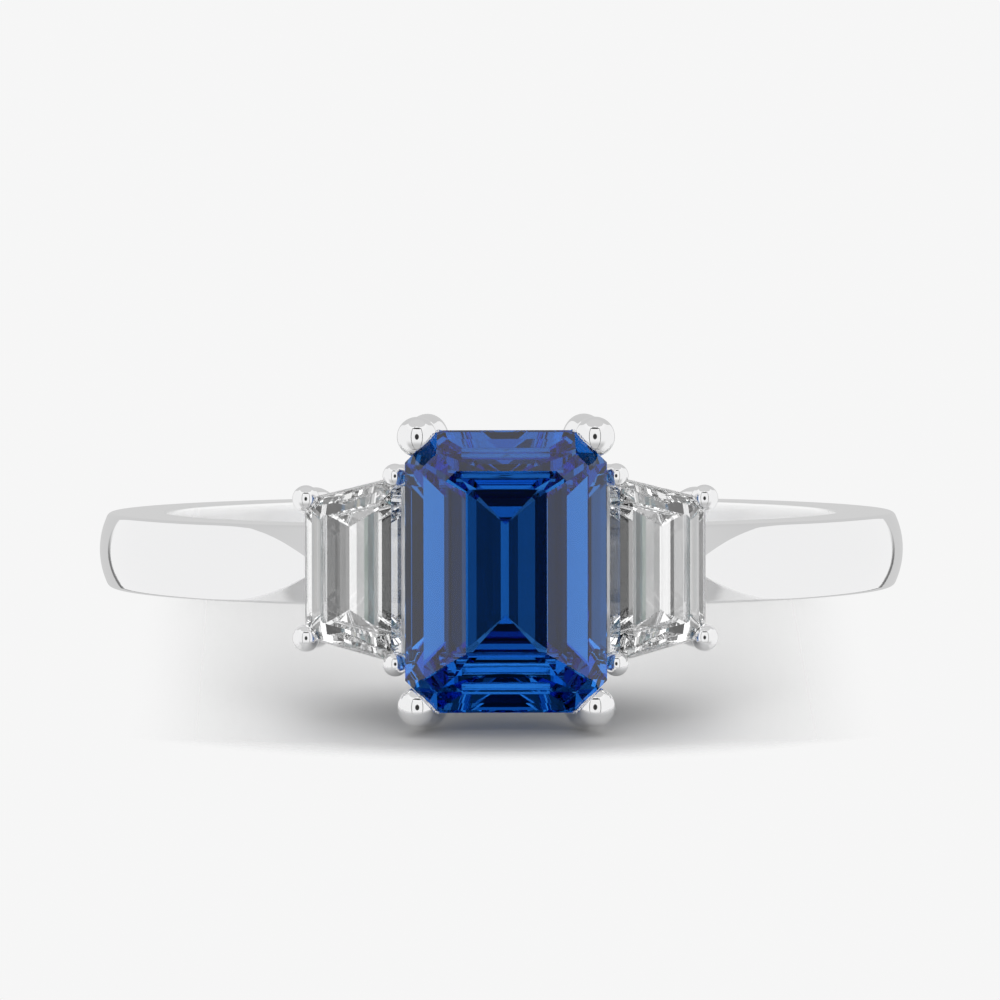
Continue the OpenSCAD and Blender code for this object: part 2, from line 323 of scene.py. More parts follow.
def facets(node, *kinds):
    """Arrays of a CAD mesh's faces, one for each kind of value, with a row for each face."""
    faces = frame["nodes"][node].data.polygons
    arrays = []
    for kind in kinds:
        values = np.empty(len(faces) * (1 if kind == "area" else 3))
        faces.foreach_get(kind, values)
        arrays.append(values if kind == "area" else values.reshape(-1, 3))
    return arrays


# Faces are one facet if their unit normals agree to 0.0001 and their distances to 0.0001 mm
NORMAL_STEPS, OFFSET_STEPS = 1e4, 1e7


def stone_planes(node):
    """Facet planes of a cut stone in the head's frame: unit normals and their distances from the
    origin."""
    normals, centres = facets(node, "normal", "center")
    normals, centres = normals @ HEAD.T, to_head(centres)
    offsets = np.einsum("ij,ij->i", normals, centres)
    keys = np.round(np.column_stack([normals * NORMAL_STEPS, offsets * OFFSET_STEPS])).astype(int)
    _, first = np.unique(keys, axis=0, return_index=True)
    return normals[first], offsets[first]


def clear_of(points, planes, gap):
    """Moves each point that is inside a convex stone, or nearer than gap, out through its nearest
    facet."""
    normals, offsets = planes
    heights = points @ normals.T - offsets
    nearest = heights.argmax(axis=1)
    deep = gap - heights[np.arange(len(points)), nearest]
    return points + np.clip(deep, 0, None)[:, None] * normals[nearest]


# Sections of the shank: from one angle to the next, in degrees from the head's middle, and the step
# between them. They are closest at the shoulder's end.
SECTIONS = ((0, 18, 1.0), (18, 30, 0.12), (30, 75, 0.6), (75, 180, 1.0))
BEVELS_STOP = math.radians(75)
# Points across the half of a section: the leaf, its crease, the bevel, the rounded outer edge, the
# side face, the rounded inner edge and the hole's wall
LEAF_POINTS, CREASE_POINTS, BEVEL_POINTS, EDGE_POINTS = 8, 6, 7, 8
SIDE_POINTS, CORNER_POINTS, WALL_POINTS = 5, 5, 4
# Half the width of the band of close points at the crease, and the least room that the crease
# leaves towards the middle and towards the rounded edge
CREASE = 0.03 * MM
CREASE_IN, CREASE_OUT = 0.02 * MM, 0.04 * MM
# Heights over which the bevels' ridges, the shoulder's end and the bridge's corner are rounded
RIDGE_ROUNDING, END_ROUNDING, BRIDGE_ROUNDING = 0.035 * MM, 0.12 * MM, 0.25 * MM
# What keeps the ramp and the end wall finite: the least cosine and sine that they are divided by,
# and the angle from the wall's own direction within which it is left out
LEAST_COS, LEAST_SIN, WALL_MARGIN = 0.2, 0.02, 0.05


def shank_surface(s):
    """Closed surface of the shank: at each angle round the hole a section whose outer side is the
    least of three heights and never under the bridge. The heights are a domed circle that runs
    straight to the shoulder's end as a ramp, the bevels that fall away on both sides of a leaf
    shaped face, and the shoulder's end wall."""
    outer = s.bore_radius + s.side_thickness
    off = s.side_thickness - s.back_thickness
    dome_r = ((s.front_width / 2) ** 2 + s.dome ** 2) / (2 * s.dome)
    far = math.hypot(s.shoulder_x, s.shoulder_z - off)
    a = math.atan2(s.shoulder_x, s.shoulder_z - off) + math.acos(outer / far)
    half = np.radians(np.concatenate([np.arange(*run) for run in SECTIONS]))
    theta = np.concatenate([half, [math.pi], 2 * math.pi - half[:0:-1]])[:, None]
    t = np.where(theta > math.pi, 2 * math.pi - theta, theta)

    # Distances from the hole's axis: the circle, the ramp that touches it at the angle a, the wall
    circle = off * np.cos(t) + np.sqrt(outer ** 2 - (off * np.sin(t)) ** 2)
    ramp = (outer + off * math.cos(a)) / np.clip(np.cos(t - a), LEAST_COS, None)
    face = np.where(t < a, ramp, circle)
    wall_line = s.shoulder_z * math.sin(a) - s.shoulder_x * math.cos(a)
    wall = wall_line / np.clip(np.sin(a - t), LEAST_SIN, None)
    wall = np.where(t < a - WALL_MARGIN, wall, FAR)

    # Half the shank's width, w, and half the leaf's, an arc that runs out along the side face
    along = (face * np.sin(t) - s.shoulder_x) * math.cos(a)
    along = along + (s.shoulder_z - face * np.cos(t)) * math.sin(a)
    share = (outer - circle * np.cos(t) + off) / (2 * outer)
    w = s.front_width / 2 + (s.back_width - s.front_width) / 2 * share
    rise = (s.front_width - s.bevel_tip) / 2
    bevel_r = (s.bevel_length ** 2 + rise ** 2) / (2 * rise)
    run = np.clip(s.bevel_length - along, 0, bevel_r)
    leaf = s.front_width / 2 - bevel_r + np.sqrt(bevel_r ** 2 - run ** 2)
    leaf = np.where(t < BEVELS_STOP, leaf, FAR)
    crease = np.clip(leaf, CREASE_IN, w - s.edge - CREASE_OUT)

    # Widths across one half of the outer side: the leaf, its crease, the bevel and the rounded edge
    flat = np.linspace(0, 1, LEAF_POINTS, endpoint=False)
    soft = np.linspace(-1, 1, CREASE_POINTS, endpoint=False)
    slope = np.linspace(0, 1, BEVEL_POINTS, endpoint=False)
    turn = np.linspace(0, math.pi / 2, EDGE_POINTS)
    y = np.concatenate([
        flat * (crease - CREASE),
        crease + soft * CREASE,
        crease + CREASE + slope * (w - s.edge - crease - CREASE),
        w - s.edge + s.edge * np.sin(turn)], 1)
    sag = dome_r - np.sqrt(dome_r ** 2 - y ** 2)
    fall = np.where(t < BEVELS_STOP, np.tan(s.bevel_angle) / np.cos(t - a), 1.0)
    leaf_sag = dome_r - np.sqrt(dome_r ** 2 - np.clip(leaf, 0, w) ** 2)
    bevel = face - leaf_sag - (y - leaf) * fall
    top = smooth_min(face - sag, bevel, RIDGE_ROUNDING)
    top = smooth_min(top, wall, END_ROUNDING)
    top = smooth_max(top, s.bore_radius + s.bridge - sag, BRIDGE_ROUNDING)
    over = np.clip((y - (w - s.edge)) / s.edge, 0, 1)
    top = top - s.edge * (1 - np.sqrt(1 - over ** 2))

    # Down the side face, round the hole's edge, and across the hole's wall
    ends = top[:, -1:]
    hole = s.bore_radius + s.edge
    side_r = ends + (hole - ends) * np.linspace(0, 1, SIDE_POINTS + 1)[1:]
    side_y = w + 0 * side_r
    corner = np.linspace(0, math.pi / 2, CORNER_POINTS + 1)[1:]
    corner_r = hole - s.edge * np.sin(corner) + 0 * ends
    corner_y = w - s.edge + s.edge * np.cos(corner)
    inner_y = (w - s.edge) * np.linspace(1, 0, WALL_POINTS + 1)[1:]
    inner_r = s.bore_radius + 0 * inner_y
    r = np.concatenate([top, side_r, corner_r, inner_r], 1)
    y = np.concatenate([y, side_y, corner_y, inner_y], 1)

    # The other half mirrors this one
    r = np.concatenate([r, r[:, -2:0:-1]], 1)
    y = np.concatenate([y, -y[:, -2:0:-1]], 1)
    points = np.stack([r * np.sin(theta), y, r * np.cos(theta)], 2)
    return points.reshape(-1, 3), grid_faces(*r.shape, True), []


# Points along each run and bend of a claw, along its ball and round it, and points round a rail and
# along each of its four bends
CLAW_POINTS, BALL_POINTS, CLAW_SIDES = 16, 59, 80
RAIL_SIDES, RAIL_BEND_POINTS = 24, 13
# How far a claw widens at its foot, as a share of its radius, and the length in which that fades
FLARE, FLARE_LENGTH = 0.3, 0.35 * MM
# Gap between a claw's last straight ring and its ball, and the ball's first ring, as a share of the
# claw's radius
BALL_GAP, BALL_START = 0.03 * MM, 0.96
# Height over which the filed flat runs out
FILED_RUN = 0.03 * MM
# A sideways vector shorter than this has no direction
NO_LENGTH = 1e-6


def bezier(start, bend, end, t):
    """The quadratic Bezier curve from start to end, pulled towards the bend."""
    return (1 - t) ** 2 * start + 2 * t * (1 - t) * bend + t ** 2 * end


def rings(path, u, v, radii, sides):
    """Rings of points round a path: at each of its points, a circle in the plane of u and v."""
    turn = np.linspace(0, 2 * math.pi, sides, endpoint=False)[None, :, None]
    circle = np.cos(turn) * u[:, None] + np.sin(turn) * v[:, None]
    return (path[:, None] + circle * np.reshape(radii, (-1, 1, 1))).reshape(-1, 3)


def bent_path(foot, knee, tip, rounding):
    """Points along two straight runs that meet at the knee, where a quadratic Bezier curve over the
    rounding's length on both sides takes the corner off."""
    foot, knee, tip = (np.asarray(v) for v in (foot, knee, tip))
    start, end = knee + unit(foot - knee) * rounding, knee + unit(tip - knee) * rounding
    t = np.linspace(0, 1, CLAW_POINTS)[:, None]
    return np.concatenate([
        foot + (start - foot) * t[:-1], bezier(start, knee, end, t), end + (tip - end) * t[1:]])


def tube(path, radii):
    """Tube round an open path, with a point at each end: rings of the given radii square to the
    path."""
    tangent = unit(np.gradient(path, axis=0))
    u = np.cross(tangent, [0.0, 0.0, 1.0])
    u = unit(np.where(np.linalg.norm(u, axis=1)[:, None] < NO_LENGTH, [1.0, 0.0, 0.0], u))
    points = rings(path, u, np.cross(tangent, u), radii, CLAW_SIDES)
    points = np.concatenate([points, path[:1], path[-1:]])
    i = np.arange(CLAW_SIDES)
    j = (i + 1) % CLAW_SIDES
    last = (len(path) - 1) * CLAW_SIDES
    low, high = np.full_like(i, len(points) - 2), np.full_like(i, len(points) - 1)
    caps = np.concatenate([np.stack([low, j, i], 1), np.stack([last + i, last + j, high], 1)])
    return points, grid_faces(len(path), CLAW_SIDES, False)[:, ::-1], caps[:, ::-1]


def claw(foot, knee, tip, rod, ball, rounding):
    """Bent rod from foot through knee to a ball round tip: the radius flares to the foot, and over
    the last stretch it follows the ball's circle."""
    tip = np.asarray(tip)
    path = bent_path(foot, knee, tip, rounding)
    ahead = unit(path[-1] - path[-2])
    steps = np.linalg.norm(np.diff(path, axis=0), axis=1)
    length = np.concatenate([[0], np.cumsum(steps)])
    left = length[-1] - length
    flare = 1 + FLARE * np.exp(-length / FLARE_LENGTH)
    keep = left > math.sqrt(max(ball ** 2 - rod ** 2, 0)) + BALL_GAP
    start = math.asin(min(1, BALL_START * rod / ball)) - math.pi / 2
    angle = np.linspace(start, math.pi / 2, BALL_POINTS, endpoint=False)
    head = tip + ball * np.sin(angle)[:, None] * ahead
    radii = np.concatenate([(rod * flare)[keep], ball * np.cos(angle)])
    points, quads, tris = tube(np.concatenate([path[keep], head]), radii)
    points[-1] = tip + ball * ahead
    return points, quads, tris


def filed(part, tip, distance, level):
    """The part with a flat filed on it above a level: points past a plane, which stands upright on
    the head at a distance from the tip on the diagonal to the head's middle, are moved back to the
    plane."""
    points, quads, tris = part
    diagonal = np.array([1.0, 1.0, 0.0]) / math.sqrt(2)
    over = np.clip((tip - points) @ diagonal - distance, 0, None)
    share = np.clip((points[:, 2] - level) / FILED_RUN, 0, 1)
    return points + (over * share)[:, None] * diagonal, quads, tris


def loop_tube(corners, radius, rounding):
    """Closed tube round a four cornered path, where a quadratic Bezier curve over the rounding's
    length on both sides takes each corner off."""
    corners = np.asarray(corners)
    start = corners + unit(np.roll(corners, 1, axis=0) - corners) * rounding
    end = corners + unit(np.roll(corners, -1, axis=0) - corners) * rounding
    t = np.linspace(0, 1, RAIL_BEND_POINTS)[None, :, None]
    path = bezier(start[:, None], corners[:, None], end[:, None], t).reshape(-1, 3)
    tangent = unit(np.roll(path, -1, axis=0) - np.roll(path, 1, axis=0))
    v = np.array([0.0, 0.0, 1.0]) + 0 * path
    v = unit(v - np.einsum("ij,ij->i", v, tangent)[:, None] * tangent)
    points = rings(path, np.cross(tangent, v), v, radius, RAIL_SIDES)
    return points, grid_faces(len(path), RAIL_SIDES, True), []


def mirrored(part, axes):
    """The part turned over along the given axes, with its faces kept outwards."""
    points, quads, tris = part
    flip = np.ones(3)
    flip[list(axes)] = -1
    if len(axes) % 2:
        quads = np.asarray(quads)[:, ::-1]
        tris = np.asarray(tris).reshape(-1, 3)[:, ::-1]
    return points * flip, quads, tris


def quarters(part):
    """The part in each of the four quarters of the head."""
    return [mirrored(part, axes) for axes in ((), (0,), (1,), (0, 1))]


def seated(parts, stones, gap):
    """The parts with their points cleared of the stones."""
    cleared = []
    for points, quads, tris in parts:
        for planes in stones:
            points = clear_of(points, planes, gap)
        cleared.append((points, quads, tris))
    return cleared


class Nodes:
    """An emptied node tree, to which nodes are added one by one. An input is a value or another
    node's output."""

    def __init__(self, tree):
        self.nodes, self.links = tree.nodes, tree.links
        self.nodes.clear()

    def add(self, kind, inputs=(), **settings):
        """A new node with its settings, and its inputs by name or number. Returns its outputs."""
        node = self.nodes.new("ShaderNode" + kind)
        for name, value in settings.items():
            setattr(node, name, value)
        for name, value in dict(inputs).items():
            if isinstance(value, bpy.types.NodeSocket):
                self.links.new(value, node.inputs[name])
            else:
                node.inputs[name].default_value = value
        return node.outputs

    def maths(self, operation, *values):
        """The result of one step of arithmetic on one to three values."""
        return self.add("Math", enumerate(values), operation=operation)["Value"]

    def vectors(self, operation, *values):
        """The outputs of one step of arithmetic on one or two vectors."""
        return self.add("VectorMath", enumerate(values), operation=operation)

    def fade(self, value, low, high, start=0.0, end=1.0, kind="SMOOTHSTEP"):
        """Goes from start to end as the value goes from low to high, and stays there beyond."""
        return self.add("MapRange", {
            "Value": value, "From Min": low, "From Max": high, "To Min": start, "To Max": end,
        }, interpolation_type=kind)["Result"]

    def blend(self, share, first, second, kind="RGBA"):
        """The first colour or number where the share is nought, and the second where it is one."""
        return self.add("Mix", {"Factor": share, "A": first, "B": second}, data_type=kind)["Result"]


def new_material(name):
    """A new material and its emptied node tree."""
    material = bpy.data.materials.new(name)
    material.use_nodes = True
    return material, Nodes(material.node_tree)


# Distances past the finger hole's radius between which its wall's softer polish and its painted
# lighter colour end
WALL_POLISH_AND_PAINTED_LIGHT = (0.01 * MM, 0.08 * MM)
# Roughness of the metal's clearest and dullest clouds, and the noise levels where they are reached
GLOSS, GLOSS_NOISE = (0.015, 0.06), (0.3, 0.7)
# Clouds and polishing lines: how many in a metre and in how many octaves, how many times closer the
# lines are upwards, and how strong and deep they are
METAL_CLOUDS, METAL_CLOUD_DETAIL = 700, 4
LINES, LINE_DETAIL, LINE_STRETCH = 6000, 2, (1, 1, 9)
LINE_STRENGTH, LINE_DEPTH = 0.02, 0.02 * MM


def hole_wall(nodes, coords, bore_radius):
    """One on the finger hole's wall, by a point's distance from the hole's axis, and zero
    elsewhere."""
    centred = nodes.add("Mapping", {"Vector": coords, "Location": -HOLE_CENTRE})["Vector"]
    turned = nodes.vectors("CROSS_PRODUCT", centred, HOLE_AXIS)["Vector"]
    reach = nodes.vectors("LENGTH", turned)["Value"]
    low, high = (bore_radius + past for past in WALL_POLISH_AND_PAINTED_LIGHT)
    return nodes.fade(reach, low, high, 1, 0, kind="LINEAR")


def white_metal(colour, bore_radius, inside):
    """Polished white metal: fine polishing lines, a trace of unevenness in its gloss, and a softer
    polish on the finger hole's wall, whose whiter colour there is painted light that makes the wall
    look lighter."""
    material, nodes = new_material("polished_white_metal")
    coords = nodes.add("TexCoord")["Object"]
    clouds = nodes.add("TexNoise", {
        "Vector": coords, "Scale": METAL_CLOUDS, "Detail": METAL_CLOUD_DETAIL})["Fac"]
    gloss = nodes.fade(clouds, *GLOSS_NOISE, *GLOSS, kind="LINEAR")
    stretched = nodes.add("Mapping", {"Vector": coords, "Scale": LINE_STRETCH})["Vector"]
    lines = nodes.add("TexNoise", {
        "Vector": stretched, "Scale": LINES, "Detail": LINE_DETAIL})["Fac"]
    bump = nodes.add("Bump", {
        "Height": lines, "Strength": LINE_STRENGTH, "Distance": LINE_DEPTH})["Normal"]
    wall = hole_wall(nodes, coords, bore_radius)
    shader = nodes.add("BsdfPrincipled", {
        # Painted light: the hole's wall is given a whiter colour than the rest of the metal
        "Base Color": nodes.blend(wall, (*colour, 1), (1, 1, 1, 1)),
        "Metallic": 1,
        "Roughness": nodes.maths("MULTIPLY_ADD", wall, inside, gloss),
        "Normal": bump})["BSDF"]
    nodes.add("OutputMaterial", {"Surface": shader})
    return material


# A facet looks out of the head if the share of its unit normal that way is over this, and a face is
# the girdle's if its share out of the table is under this
FACING, SQUARE = 0.8, 0.02
# Digits to which the normals of the faces in one facet agree
FACET_DIGITS = 3
# How strongly the stones bend light
SAPPHIRE_IOR, DIAMOND_IOR = 1.77, 2.42
# Distances from the girdle's middle between which its ground finish ends, and its roughness
GIRDLE, GROUND = (0.052 * MM, 0.046 * MM), 0.35
# Faint clouds in a stone: how many in a metre, and how far they whiten its colour
STONE_CLOUDS, CLOUD_WHITE = 500, 0.1
# Shares of the painted shade's size between which it fades out
PAINTED_SHADE_EDGE = (1.06, 0.94)
# Light that has gone through more faces than this has been in a stone before
PASSED = 1.5


def stone_frame(node):
    """Middle of a stone's girdle, and a matrix whose columns are two axes in its plane and the axis
    out of its table: the table is the largest facet, and the girdle's faces stand square to it."""
    normals, centres, areas = facets(node, "normal", "center", "area")
    facing = normals @ HEAD[2] > FACING
    groups, index = np.unique(np.round(normals, FACET_DIGITS), axis=0, return_inverse=True)
    size = np.bincount(index.ravel(), weights=areas * facing)
    out = unit(groups[size.argmax()])
    girdle = np.abs(normals @ out) < SQUARE
    middle = (centres[girdle].min(0) + centres[girdle].max(0)) / 2
    across = np.cross(HOLE_AXIS, out)
    return middle, Matrix(np.array([across, HOLE_AXIS, out]).T.tolist())


def painted_middle_shade(nodes, spot, body, colour, size):
    """Painted shade: body colour that turns to a darker one inside a soft edged rectangle about the
    stone's middle, darkening the middle where light comes back through the stone."""
    shares = []
    for axis, half in zip("XY", size):
        away = nodes.maths("ABSOLUTE", spot[axis])
        low, high = (edge * half for edge in PAINTED_SHADE_EDGE)
        shares.append(nodes.fade(away, low, high))
    return nodes.blend(nodes.maths("MULTIPLY", *shares), body, (*colour, 1))


def painted_reflection_colour(nodes, body, colour):
    """Painted reflection: body colour that gives way to another one for light that has already
    passed through a stone, which paints the sapphire's colour as the diamonds show it."""
    depth = nodes.add("LightPath")["Transmission Depth"]
    return nodes.blend(nodes.maths("GREATER_THAN", depth, PASSED), body, (*colour, 1))


def gem(name, node, colour, ior, painted_shade=None, painted_shade_size=None, aside=None, depth=None, density=0):
    """Clear cut stone: polished facets that refract and a ground girdle, with faint clouds in its
    colour and, if asked, painted shade that darkens its middle, a painted reflection colour for
    light that has come through another stone, and colour taken up along the light's way."""
    material, nodes = new_material(name)
    coords = nodes.add("TexCoord")["Object"]
    middle, axes = stone_frame(node)
    settled = nodes.add("Mapping", {
        "Vector": coords, "Location": middle, "Rotation": axes.to_euler()}, vector_type="TEXTURE")
    spot = nodes.add("SeparateXYZ", {"Vector": settled["Vector"]})
    level = nodes.maths("ABSOLUTE", spot["Z"])
    clouds = nodes.add("TexNoise", {"Vector": coords, "Scale": STONE_CLOUDS})["Fac"]
    pale = ((1 - CLOUD_WHITE) * c + CLOUD_WHITE for c in colour)
    body = nodes.blend(clouds, (*colour, 1), (*pale, 1))
    # Painted shade in the stone's middle
    if painted_shade is not None:
        body = painted_middle_shade(nodes, spot, body, painted_shade, painted_shade_size)
    # Painted reflection: another colour for light that has come through another stone
    if aside is not None:
        body = painted_reflection_colour(nodes, body, aside)
    ends = {"Surface": nodes.add("BsdfPrincipled", {
        "Base Color": body,
        "Roughness": nodes.fade(level, *GIRDLE, 0.0, GROUND, kind="LINEAR"),
        "IOR": ior,
        "Transmission Weight": 1})["BSDF"]}
    if depth is not None:
        ends["Volume"] = nodes.add("VolumeAbsorption", {
            "Color": (*depth, 1), "Density": density})["Volume"]
    nodes.add("OutputMaterial", ends)
    return material


def metal_piece(name, parts):
    """A piece of the mount in white metal, riding on the root and standing for the CAD mount."""
    scene = bpy.context.scene
    material = bpy.data.materials.get("polished_white_metal") or white_metal(
        scene.ring_finish.metal, scene.ring_shank.bore_radius, scene.ring_finish.inside)
    obj = make_object(name, parts, material)
    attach(obj, "root")
    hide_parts("ring_mount")


class RING_OT_shank(bpy.types.Operator):
    """Build the shank with its shoulders and the bridge under the stones"""

    bl_idname = "ring.shank"
    bl_label = "Shank"

    def execute(self, context):
        metal_piece("shank", [shank_surface(context.scene.ring_shank)])
        return {"FINISHED"}


# Lengths over which the claws bend at their knees and the rails at their corners
CLAW_BEND, RAIL_BEND = 0.3 * MM, 0.4 * MM
SIDE_CLAW_BEND, SIDE_RAIL_BEND = 0.2 * MM, 0.3 * MM
# Height above the hole's axis from which the centre claws are filed flat
FILED_LEVEL = 12.43 * MM
# Radius of a side claw as a share of its ball's diameter
OUTER_ROD, INNER_ROD = 0.42, 0.44


class RING_OT_centre_setting(bpy.types.Operator):
    """Build the centre setting: four bent claws with ball tips and their rail"""

    bl_idname = "ring.centre_setting"
    bl_label = "Centre setting"

    def execute(self, context):
        s = context.scene.ring_claws
        tip = np.array(s.tip)
        part = claw(s.foot, s.knee, tip, s.claw / 2, s.ball / 2, CLAW_BEND)
        parts = quarters(filed(part, tip, s.flat, FILED_LEVEL))
        turns = np.array([[1, 1, 1], [-1, 1, 1], [-1, -1, 1], [1, -1, 1]])
        parts.append(loop_tube(np.array(s.corner) * turns, s.rail / 2, RAIL_BEND))
        metal_piece("centre_setting", seated(parts, [stone_planes("centre_stone")], s.seat))
        return {"FINISHED"}


class RING_OT_side_settings(bpy.types.Operator):
    """Build both side settings: four claws and a rail each"""

    bl_idname = "ring.side_settings"
    bl_label = "Side settings"

    def execute(self, context):
        s = context.scene.ring_claws
        parts = []
        for foot, knee, tip, ball, rod in (
                (s.outer_foot, s.outer_knee, s.outer_tip, s.outer_ball, OUTER_ROD),
                (s.inner_foot, s.inner_knee, s.inner_tip, s.inner_ball, INNER_ROD)):
            parts += quarters(claw(foot, knee, tip, rod * ball, ball / 2, SIDE_CLAW_BEND))
        p, q = np.array(s.outer_corner), np.array(s.inner_corner)
        turn = np.array([1, -1, 1])
        rail = loop_tube([p, q, q * turn, p * turn], s.side_rail / 2, SIDE_RAIL_BEND)
        parts += [rail, mirrored(rail, (0,))]
        stones = [stone_planes(n) for n in ("centre_stone", "left_stone", "right_stone")]
        metal_piece("side_settings", seated(parts, stones, s.seat))
        return {"FINISHED"}


class RING_OT_stones(bpy.types.Operator):
    """Finish the three stones"""

    bl_idname = "ring.stones"
    bl_label = "Stones"

    def execute(self, context):
        f = context.scene.ring_finish
        finishes = {
            "centre_stone": gem(
                "sapphire", "centre_stone", f.sapphire, SAPPHIRE_IOR, painted_shade=f.sapphire_painted_shade,
                painted_shade_size=f.painted_shade_size, aside=f.sapphire_painted_reflection, depth=f.sapphire_depth,
                density=f.sapphire_density),
            "left_stone": gem("left_diamond", "left_stone", f.diamond, DIAMOND_IOR),
            "right_stone": gem("right_diamond", "right_stone", f.diamond, DIAMOND_IOR),
        }
        for node, material in finishes.items():
            mesh = frame["nodes"][node].data
            mesh.materials.clear()
            mesh.materials.append(material)
        return {"FINISHED"}


def degrees(*angles):
    """Angles given in degrees, in radians."""
    return [angle * DEGREE for angle in angles]


# The light tent, by angles from the camera. A pair is a soft edge, from none of a part at the first
# to all of it at the second. A depth is the share of the light that a dark part takes away.

# The dark oval where the camera stands: half its width and height, its rim as shares of them, and
# the light left in it
LENS_HALF, LENS_RIM, LENS_LIGHT = degrees(12, 17), (0.92, 1.05), 0.04
# The panel behind the camera: half its width and its height, and half the width of its dark frame
# as a share of them, with the frame's depth
PANEL_HALF, PANEL_FRAME, PANEL_DEPTH = degrees(33, 47), 0.05, 0.9
# The dark bar above the panel: bearing, half its width, height and half its height, all in degrees,
# and depth
BAR = (0.0, 24, 50, 4, 0.95)
# The backdrop behind the ring: bearings of its sides low down and higher up, the heights between
# which they turn from one to the other, and those between which they meet overhead
BACKDROP_SIDES, BACKDROP_WIDENS = degrees(153, 126), degrees(5, 40)
BACKDROP_MEETS, BACKDROP_EDGE, BACKDROP_DEPTH = degrees(48, 76), degrees(-0.5, 0.5), 0.32
# The dark seam along the backdrop's side: half its width, the heights where it starts, and depth
SEAM_HALF, SEAM_UP, SEAM_DEPTH = 1.6 * DEGREE, degrees(0, -13), 0.75
# Soft dark patches: two edges, by bearing and height or both by height, and depth
FRONT_PATCH = (degrees(75, 50), degrees(-10, -40), 0.4)
UNDER_PATCH = (degrees(-61, -65), degrees(-84, -80), 0.6)
COLUMN_PATCH = (degrees(21, 17), degrees(66, 50), 0.98)
BELOW_PATCH = (degrees(75, 50), degrees(-12, -20), 0.97)
# More light from above: its edge, by the sine of the height, and its share on metal and on matt
# surfaces
ABOVE_EDGE, ABOVE_METAL, ABOVE_MATT = (0.6, 0.9), 0.06, 0.58
# Light mirrored by the stones' faces
SHEEN = 0.85
# Light seen through the stones: dim in front, brighter further round in two steps, and more of it
# higher up
DIM_EDGE, DIM_LIGHT = degrees(12.3, 12.9), (0.04, 0.16)
BRIGHT_EDGE, BRIGHT_LIGHT = degrees(21.5, 22.5), (0.0, 0.9)
RAISED_EDGE, RAISED_LIGHT = degrees(20, 32), (1.0, 1.7)
# Narrow lights seen through the stones: bearing from the camera, half its width, height, half its
# height, all in degrees, and strength
STONE_STRIPS = (
    (0.0, 12.0, -1.75, 5.25, 1.2),
    (0.3, 1.8, 4.65, 1.15, 1.2),
    (0.0, 12.0, 18.2, 1.3, 1.5),
    (0.0, 12.0, 11.5, 0.5, 0.8),
    (-5.3, 0.6, 4.7, 1.2, 1.0),
    (-7.4, 0.5, 4.7, 1.2, 1.1),
    (-9.2, 0.5, 4.7, 1.2, 0.5),
    (3.2, 0.4, 4.7, 1.2, 0.4),
    (6.1, 0.3, 4.7, 1.2, 0.7),
    (8.0, 0.3, 4.7, 1.2, 0.5),
    (10.0, 0.6, 4.7, 1.2, 0.45),
    (15.8, 0.6, 4.7, 1.2, 0.2),
    (-14.2, 0.4, 4.7, 1.2, 0.35),
    (-16.7, 2.0, 4.7, 1.2, 0.9),
)


def directions(nodes, vector):
    """Bearing and height of a direction, as angles that are zero level towards -Y, and the sine of
    its height."""
    axes = nodes.add("SeparateXYZ", {"Vector": vector})
    bearing = nodes.maths("ARCTAN2", axes["X"], nodes.maths("MULTIPLY", axes["Y"], -1.0))
    return bearing, nodes.maths("ARCSINE", axes["Z"]), axes["Z"]


def dimmed(nodes, light, mask, depth):
    """The light less its share depth where the mask is one."""
    left = nodes.maths("SUBTRACT", 1.0, nodes.maths("MULTIPLY", mask, depth))
    return nodes.maths("MULTIPLY", light, left)


def patched(nodes, light, first, second, patch):
    """The light dimmed by a soft dark patch where both values are past their edges."""
    first_edge, second_edge, depth = patch
    mask = nodes.maths("MULTIPLY", nodes.fade(first, *first_edge), nodes.fade(second, *second_edge))
    return dimmed(nodes, light, mask, depth)


def strip_mask(nodes, bearing, height, strip):
    """One inside a rectangle of directions, and zero elsewhere."""
    middle, half, level, tall = degrees(*strip[:4])
    return nodes.maths(
        "MULTIPLY", nodes.maths("COMPARE", bearing, middle, half),
        nodes.maths("COMPARE", height, level, tall))


